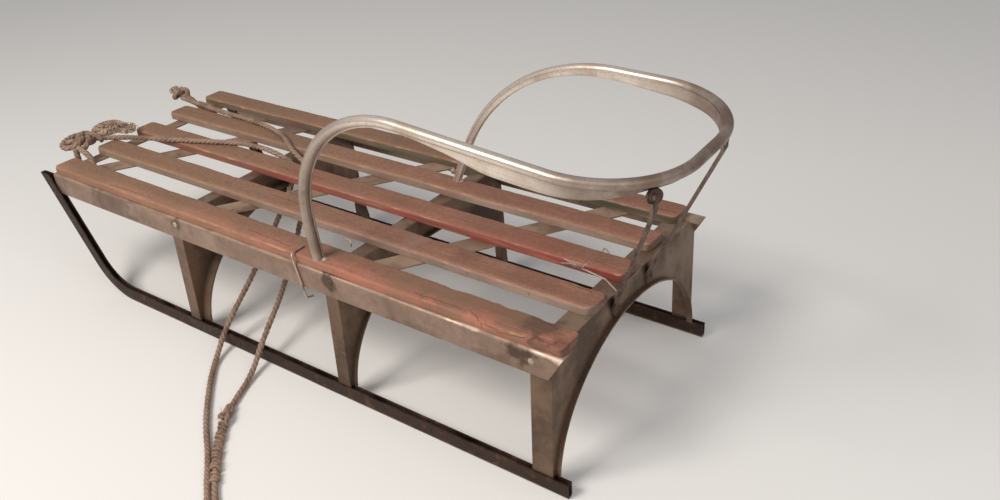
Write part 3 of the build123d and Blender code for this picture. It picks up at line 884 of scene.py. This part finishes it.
rivet_places = ((0.175, 0.156), (-0.083, 0.156), (-0.338, 0.152))
for side, word in ((1, "left"), (-1, "right")):
    grids = [dome_grid((x, side * rail_side, z), (0, side, 0), 3.6 * mm, 1.5 * mm)
             for x, z in rivet_places]
    add_piece("dull_rivet_" + word, grids[1:2], rail_sheet, "frame_sheet")
    add_piece("bright_rivets_" + word, grids[::2], wire_steel, "wire")

# %% [markdown]
# ## Bolts, and the ends of wires
# Each strut is held to the hand rail's fin by a bolt through its eye, and to the rear arch
# by another. They are the same dome as a rivet, a little wider and on a thin washer. Wires
# are thin tubes along short lines. The twist in the tie wire is two helices: a circle that
# moves along the wire while it turns.

# %% Bolts
def bolt_grids(centre, normal, radius, height):
    """A washer, wide and almost flat, with a domed head on it."""
    centre, normal = np.asarray(centre), unit(np.asarray(normal, dtype=float))
    return [dome_grid(centre, normal, 1.5 * radius, 0.6 * mm),
            dome_grid(centre + 0.5 * mm * normal, normal, radius, height)]


eye_face = 1.5 * mm
eyes = (((-0.4349, 0.1102, 0.32645), (-0.848, 0.530, 0.0)),
        ((-0.4426, -0.0117, 0.33045), (-0.940, -0.342, 0.0)))
strut_bolts, leg_bolts = [], []
for eye, outward in eyes:
    strut_bolts += bolt_grids(eye + eye_face * np.array(outward), outward, 3.4 * mm, 1.8 * mm)
for foot_y in (0.0335, -0.0368):
    strut_bolts += bolt_grids((-0.3620, foot_y, 0.1465), (-1, 0, 0), 2.8 * mm, 1.6 * mm)
leg_bolts += bolt_grids((-0.0765, -0.0728, 0.1885), (0, 1, 0), 3.0 * mm, 1.8 * mm)
for foot in ((-0.0690, 0.1440, 0.1752), (-0.0850, -0.0770, 0.1752)):
    leg_bolts += bolt_grids(foot, (0, 0, 1), 2.6 * mm, 1.6 * mm)
add_piece("strut_bolts", strut_bolts, strut_steel, "strut")
add_piece("leg_bolts", leg_bolts, wire_steel, "wire")

# %% Ends of wires
def wire_grid(points, diameter):
    """A round tube of eight sides along a smooth line."""
    line = even_steps(spline_line("wire line", points), 1 * mm)
    return tube(line, diameter / 2, circle(8), (0.13, 0.2, 1.0))


def twist_line(start, stop, radius, turns, phase):
    """Start + t (stop - start) + radius (cos a side + sin a up), a = 2 pi turns t + phase."""
    t = np.linspace(0, 1, 10 * turns)[:, None]
    start, stop, up = np.array(start), np.array(stop), np.array((0, 0, 1))
    side = unit(np.cross(stop - start, up))
    angle = 2 * np.pi * turns * t + phase
    return start + t * (stop - start) + radius * (np.cos(angle) * side + np.sin(angle) * up)


tie, clip = 1.4 * mm, 1.8 * mm
twist = ((-0.3035, 0.0252, 0.1774), (-0.3180, 0.0293, 0.1790), 1.5 * mm, 3)
wire_lines = [
    (tie, twist_line(*twist, 0.0)),
    (tie, twist_line(*twist, np.pi)),
    (tie, [(-0.3040, 0.0262, 0.1785), (-0.2990, 0.0250, 0.1805), (-0.2950, 0.0262, 0.1812)]),
    (tie, [(-0.3185, 0.0292, 0.1795), (-0.3205, 0.0262, 0.1825), (-0.3218, 0.0238, 0.1828)]),
    (clip, [(-0.3095, -0.0285, 0.1655), (-0.3115, -0.0272, 0.1705), (-0.3150, -0.0255, 0.1722),
            (-0.3230, -0.0205, 0.1700), (-0.3300, -0.0165, 0.1680)]),
    (clip, [(-0.0610, 0.0970, 0.1640), (-0.0625, 0.0960, 0.1690), (-0.0560, 0.0935, 0.1705),
            (-0.0500, 0.0945, 0.1690)])]
wires = [wire_grid(line, diameter) for diameter, line in wire_lines]
add_piece("wire_ends", wires, wire_steel, "wire")

# %% [markdown]
# ## Rope
# The rope is three strands laid round each other. Its outline is that of three circles
# that overlap, and the outline turns as it goes along: one turn in 21 mm. The line that
# it follows is a smooth spline whose corners are those of the rope's solid. On the ground
# the rope is pressed flat, so that nothing of it reaches below.

# %% Rope line
seat = 0.1785
ground = 0.0035
over = 0.024
rope_route = [
    (0.458, 0.074, seat), (0.424, 0.050, seat), (0.380, 0.032, seat), (0.308, 0.005, seat),
    (0.250, -0.019, seat), (0.210, -0.022, seat), (0.185, -0.020, seat),
    (0.150, -0.030, 0.162), (0.141, 0.032, 0.109), (0.132, 0.093, 0.064),
    (0.124, 0.155, over), (0.107, 0.190, ground), (0.087, 0.214, ground),
    (0.054, 0.247, ground), (0.019, 0.279, ground), (-0.022, 0.309, ground),
    (-0.051, 0.335, ground), (-0.077, 0.356, ground), (-0.103, 0.380, ground),
    (-0.107, 0.412, ground), (-0.131, 0.434, ground), (-0.162, 0.426, ground),
    (-0.169, 0.394, ground), (-0.145, 0.372, ground), (-0.111, 0.366, ground),
    (-0.081, 0.350, ground), (-0.055, 0.328, ground), (-0.028, 0.303, ground),
    (0.000, 0.272, ground), (0.022, 0.239, ground), (0.043, 0.190, ground),
    (0.058, 0.155, over + 0.001), (0.085, 0.087, 0.053), (0.113, 0.024, 0.095),
    (0.140, -0.038, 0.158), (0.171, -0.040, 0.175), (0.195, -0.054, seat),
    (0.224, -0.069, seat), (0.260, -0.078, seat), (0.305, -0.083, seat),
    (0.360, -0.084, seat), (0.422, -0.088, seat), (0.467, -0.094, seat)]
rope_diameter = 7 * mm
rope_line = spline_line("rope line", rope_route)
print("rope line points", len(rope_line))


# %% Laid rope
def above(grid, level):
    """The grid with what would reach below a level pressed flat on it."""
    grid[..., 2] = np.maximum(grid[..., 2], level)
    return grid


def laid_rope(line, diameter, pitch=21 * mm, step=2 * mm, around=24):
    """Radius r(a) = c cos b + sqrt(s^2 - c^2 sin^2 b), b being the angle to the nearest strand."""
    path, seed = even_steps(line, step), 3
    length = np.arange(len(path)) * step
    strand, offset = 0.35 * diameter, 0.16 * diameter
    twist = 2 * np.pi * length / pitch + 0.5 * ripple(length, seed, [(0.21, 1.0), (0.09, 0.6)])
    turn = circle(around)
    to_strand = (turn + np.pi / 3) % (2 * np.pi / 3) - np.pi / 3
    radius = offset * np.cos(to_strand)
    radius = radius + np.sqrt(strand ** 2 - (offset * np.sin(to_strand)) ** 2)
    swell = 1 + 0.05 * ripple(length, seed + 1, [(0.035, 0.6), (0.013, 0.4)])
    grid = tube(path, radius * swell[:, None], turn + twist[:, None], (0.0, 0.0, 1.0))
    return above(grid, 0.1 * mm), path


def groove_of(grid, path):
    """How deep each point lies between the strands: one in a groove, nought on a crown."""
    away = np.linalg.norm(grid - path[:, None], axis=2)
    low, high = away.min(axis=1, keepdims=True), away.max(axis=1, keepdims=True)
    return (1 - (away - low) / (high - low)).ravel()


# %% Rope material, and the rope
def rope_material(name, dark, light, dirtiness):
    """Dirty beige yarn: fine fibres, painted shade between the strands, stains along the length."""
    material, tree, shader = new_material(name)
    fibre = cloud(tree, 900, 0.35, 0.65)
    base = layered(mix(fibre, dark, light), [
        (cloud(tree, 35, 0.42, 0.66), dirtiness, (104, 81, 62)),
        # painted shade: darker where a point lies deep in the groove between the strands
        (stored(tree, "groove"), 0.45, (72, 54, 42))])
    end(shader, base, 0.92, fibre, 0.5)
    return material


old_rope = rope_material("old rope", (146, 116, 98), (186, 156, 136), 0.6)
frayed_yarn = rope_material("frayed yarn", (172, 140, 118), (206, 178, 156), 0.3)
rope_grid, rope_path = laid_rope(rope_line, rope_diameter)
rope = add_piece("rope", [rope_grid], old_rope, "rope", "tow_rope",
                 groove=groove_of(rope_grid, rope_path))

# %% [markdown]
# ## Knots
# Each end of the rope is tied round the front cross piece. The body of the knot is one
# rope pulled into a trefoil, the simplest closed knot, and squeezed flat. Beside it lie
# short open lines of the same rope: on the left a loop round the metal and a wide loop on
# the boards, on the right a tie that goes down between them.

# %% Knots at the rope's ends and where its two sides join
def trefoil(centre, half, heading):
    """x = sin t + 2 sin 2t, y = cos t - 2 cos 2t, z = -sin 3t, scaled, turned and placed."""
    t = np.linspace(0, 2 * np.pi, 25)[:-1]
    widest = 2.9
    flat = np.c_[np.sin(t) + 2 * np.sin(2 * t), np.cos(t) - 2 * np.cos(2 * t)] / widest
    knot = np.c_[flat, -np.sin(3 * t)] * half
    return knot @ np.array(Matrix.Rotation(heading, 3, "Z")).T + centre


def knot_piece(name, centre, half, heading, thick, lines=()):
    """The trefoil and any open lines beside it, all as laid rope, in one mesh."""
    closed = spline_line(name, trefoil(centre, np.array(half) * mm, heading), cyclic=True)
    closed = np.concatenate([closed, closed[:2]])
    ropes = [laid_rope(line, thick, step=1.6 * mm, around=18) for line in [closed, *lines]]
    return add_piece(name, [grid for grid, _ in ropes], old_rope, "rope", "rope_" + name,
                     groove=np.concatenate([groove_of(*made) for made in ropes]))


# %% Build the knots
def metal_loop(y, top):
    """A loop round the cross piece: up in front of it, over, down behind it, and back under."""
    low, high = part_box("front_crosspiece")
    front, rear, under = high[0] + 5 * mm, low[0] - 5 * mm, low[2] - 4.5 * mm
    return spline_line("loop", [
        (front + 4 * mm, y, top), (front + 3 * mm, y + 1 * mm, high[2] + 2 * mm),
        (front, y + 1 * mm, under), (rear + 8 * mm, y + 1 * mm, under - 1 * mm),
        (rear, y, under), (rear, y - 1 * mm, high[2] + 4 * mm),
        (rear + 10 * mm, y - 1 * mm, top - 3 * mm), (front, y - 2 * mm, top)])


big_loop = spline_line("big loop", [
    (0.430, 0.074, 0.182), (0.446, 0.070, 0.186), (0.463, 0.080, 0.187), (0.470, 0.098, 0.186),
    (0.463, 0.115, 0.184), (0.446, 0.120, 0.183), (0.436, 0.106, 0.185), (0.444, 0.092, 0.190)])
right_tie = spline_line("right tie", [
    (0.470, -0.094, 0.184), (0.462, -0.101, 0.180), (0.446, -0.101, 0.172),
    (0.434, -0.101, 0.162), (0.424, -0.101, 0.1575), (0.412, -0.101, 0.158),
    (0.404, -0.101, 0.164), (0.408, -0.101, 0.1715), (0.424, -0.102, 0.1725),
    (0.44, -0.101, 0.1725)])
knot_left = knot_piece("knot_left", (0.449, 0.092, 0.183), (16, 21, 6), 0.4, 8 * mm,
                       [metal_loop(0.110, 0.183), big_loop])
knot_right = knot_piece("knot_right", (0.474, -0.097, 0.184), (11, 11, 5), 1.1, 7.5 * mm,
                        [right_tie])
knot_join = knot_piece("knot_join", (0.011, 0.256, 0.006), (15, 5.5, 3), math.radians(124),
                       5.5 * mm)

# %% [markdown]
# Below the join the rope is twice as thick, because the loose tail is wound round it. The
# tail is a helix on the rope's own line, with turns that are not quite even, and its own
# three strands.

# %% The wound tail
def wound_line(path, radius, pitch, seed):
    """Path point + radius (cos a side + sin a top), one turn per pitch, with a wobble."""
    length = lengths_along(path)
    side, up = across(path, np.array([0.0, 0.0, 1.0]))
    angle = 2 * np.pi * length / pitch + 1.1 * ripple(length, seed, [(0.041, 1.0), (0.017, 0.7)])
    out = radius * (1 + 0.14 * ripple(length, seed + 1, [(0.023, 1.0), (0.009, 0.6)]))
    return path + out[:, None] * (np.cos(angle)[:, None] * side + np.sin(angle)[:, None] * up)


tail_end, join_at = (np.argmin(np.linalg.norm(rope_path - place, axis=1))
                     for place in ((-0.060, 0.333, 0.004), (0.006, 0.263, 0.004)))
tail_path = even_steps(rope_path[tail_end:join_at], 0.4 * mm)
tail_line = wound_line(tail_path, 3.9 * mm, 6 * mm, 11)
tail_grid, _ = laid_rope(tail_line, 3.8 * mm, pitch=11 * mm, step=0.9 * mm, around=12)
rope_tail = add_piece("rope_tail", [tail_grid], old_rope, "rope",
                      groove=np.full(tail_grid.shape[:2], 0.1))

# %% [markdown]
# ## Frayed ends and fuzz
# Old rope is hairy. Every hair is a tube of three sides along a curved line: it starts on
# the rope and bends away at random. The ends have matted yarn and a tuft, the rest is short.

# %% Hairs
hair_hint = (0.31, 0.17, 0.93)


def hair_grid(start, heading, length, curl, thick):
    """Start + t length heading + t^2 curl, thinner towards the tip."""
    t = np.linspace(0, 1, 7)[:, None]
    line = start + t * length * heading + t ** 2 * curl
    return tube(line, thick / 2 * (1 - 0.6 * t), np.array([0.0, 2.1, 4.2]), hair_hint)


def tuft(start, heading, spread, length, count, thick):
    """Many hairs from about one place, each with its own small turn away from the heading."""
    hairs = []
    for _ in range(count):
        turned = unit(heading + rng.normal(0, spread, 3))
        hairs.append(hair_grid(
            start + rng.normal(0, 1.6 * mm, 3), turned, length * rng.uniform(0.4, 1.0),
            rng.normal(0, 0.25 * length, 3), thick))
    return hairs


def clump(centre, half, count, length, thick):
    """Matted yarn: every line is three slow sine waves, held inside an ellipsoid."""
    hairs, t, half = [], np.linspace(0, 1, 26)[:, None], np.array(half) * mm
    for _ in range(count):
        speed = rng.uniform(0.6, 1.5, 3) * length / (2 * half)
        place = np.sin(speed * t + rng.uniform(0, 2 * np.pi, 3)) * rng.uniform(0.3, 1.0)
        place /= np.maximum(1, np.linalg.norm(place, axis=1, keepdims=True))
        hairs.append(tube(centre + place * half, thick / 2, circle(5), hair_hint))
    return hairs


def fuzz(grid, path, count, low, high):
    """Short hairs that stand off the rope's skin at random places."""
    rows = rng.integers(3, len(path) - 3, count)
    starts = grid[rows, rng.integers(0, grid.shape[1], count)]
    out, along = unit(starts - path[rows]), unit(path[rows + 1] - path[rows])
    leaning = unit(out * 0.7 + along * rng.uniform(-1, 1, (count, 1))
                   + rng.normal(0, 0.3, (count, 3)))
    return [hair_grid(start - 0.3 * mm * away, lean, rng.uniform(low, high),
                      rng.normal(0, 0.8 * mm, 3), 0.28 * mm)
            for start, away, lean in zip(starts, out, leaning)]


board_top = 0.1758
hairs = clump((0.483, -0.098, 0.187), (12, 11, 6), 60, 60 * mm, 0.8 * mm)
hairs += clump((0.456, 0.044, 0.184), (22, 24, 7), 110, 110 * mm, 0.9 * mm)
hairs += clump((0.436, 0.030, 0.182), (20, 16, 5), 50, 90 * mm, 0.8 * mm)
hairs += tuft((0.478, -0.098, 0.183), (0.85, -0.2, 0.15), 0.3, 14 * mm, 26, 0.5 * mm)
hairs = [above(hair_piece, board_top) for hair_piece in hairs]
hairs += tuft((0.013, 0.262, 0.008), (-0.6, -0.3, 0.35), 0.45, 13 * mm, 30, 0.6 * mm)
hairs += fuzz(rope_grid, rope_path, 900, 1.5 * mm, 4.5 * mm)
hairs += fuzz(tail_grid, tail_grid.mean(axis=1), 420, 2.0 * mm, 5.5 * mm)
hairs = [above(hair_piece, 0.15 * mm) for hair_piece in hairs]
rope_hairs = add_piece("rope_hairs", hairs, frayed_yarn, "rope",
                       groove=np.zeros(sum(len(one) * one.shape[1] for one in hairs)))
print("hairs:", len(hairs))

# %% [markdown]
# ## Floor and light
# A pale floor, a wide soft lamp above the camera's left and a weak one opposite. The level
# is low enough for a colour to come out about as it is written.

# %% Floor
floor_mesh = bpy.data.meshes.new("floor")
floor_mesh.from_pydata([(-6, -6, 0), (6, -6, 0), (6, 6, 0), (-6, 6, 0)], [], [(0, 1, 2, 3)])
floor = bpy.data.objects.new("floor", floor_mesh)
bpy.context.scene.collection.objects.link(floor)
floor_paint, _, floor_shader = new_material("pale floor")
floor_shader.inputs["Base Color"].default_value = linear((238, 235, 230))
floor_shader.inputs["Roughness"].default_value = 0.9
floor_mesh.materials.append(floor_paint)

# %% Lamps and world
# per lamp: place, what it looks at, size, watts, colour
lamps = {"key lamp": ((0.45, 1.5, 1.75), (-0.15, 0, 0.15), 0.9, 38, (1.0, 0.96, 0.91)),
         "fill lamp": ((-1.7, 0.7, 1.3), (0, 0, 0.1), 1.6, 10, (1, 1, 1))}
for name, (place, target, size, watts, tint) in lamps.items():
    lamp_data = bpy.data.lights.new(name, "AREA")
    lamp_data.size, lamp_data.energy, lamp_data.color = size, watts, tint
    lamp = bpy.data.objects.new(name, lamp_data)
    lamp.location = place
    lamp.rotation_euler = (Vector(target) - Vector(place)).to_track_quat("-Z", "Y").to_euler()
    bpy.context.scene.collection.objects.link(lamp)
    print(name, watts, "watts")
world = bpy.data.worlds.new("studio")
bpy.context.scene.world = world
world.use_nodes = True
background = world.node_tree.nodes["Background"]
background.inputs["Color"].default_value = (0.95, 0.96, 1.0, 1)
background.inputs["Strength"].default_value = 0.36
bpy.context.scene.view_settings.view_transform = "Standard"
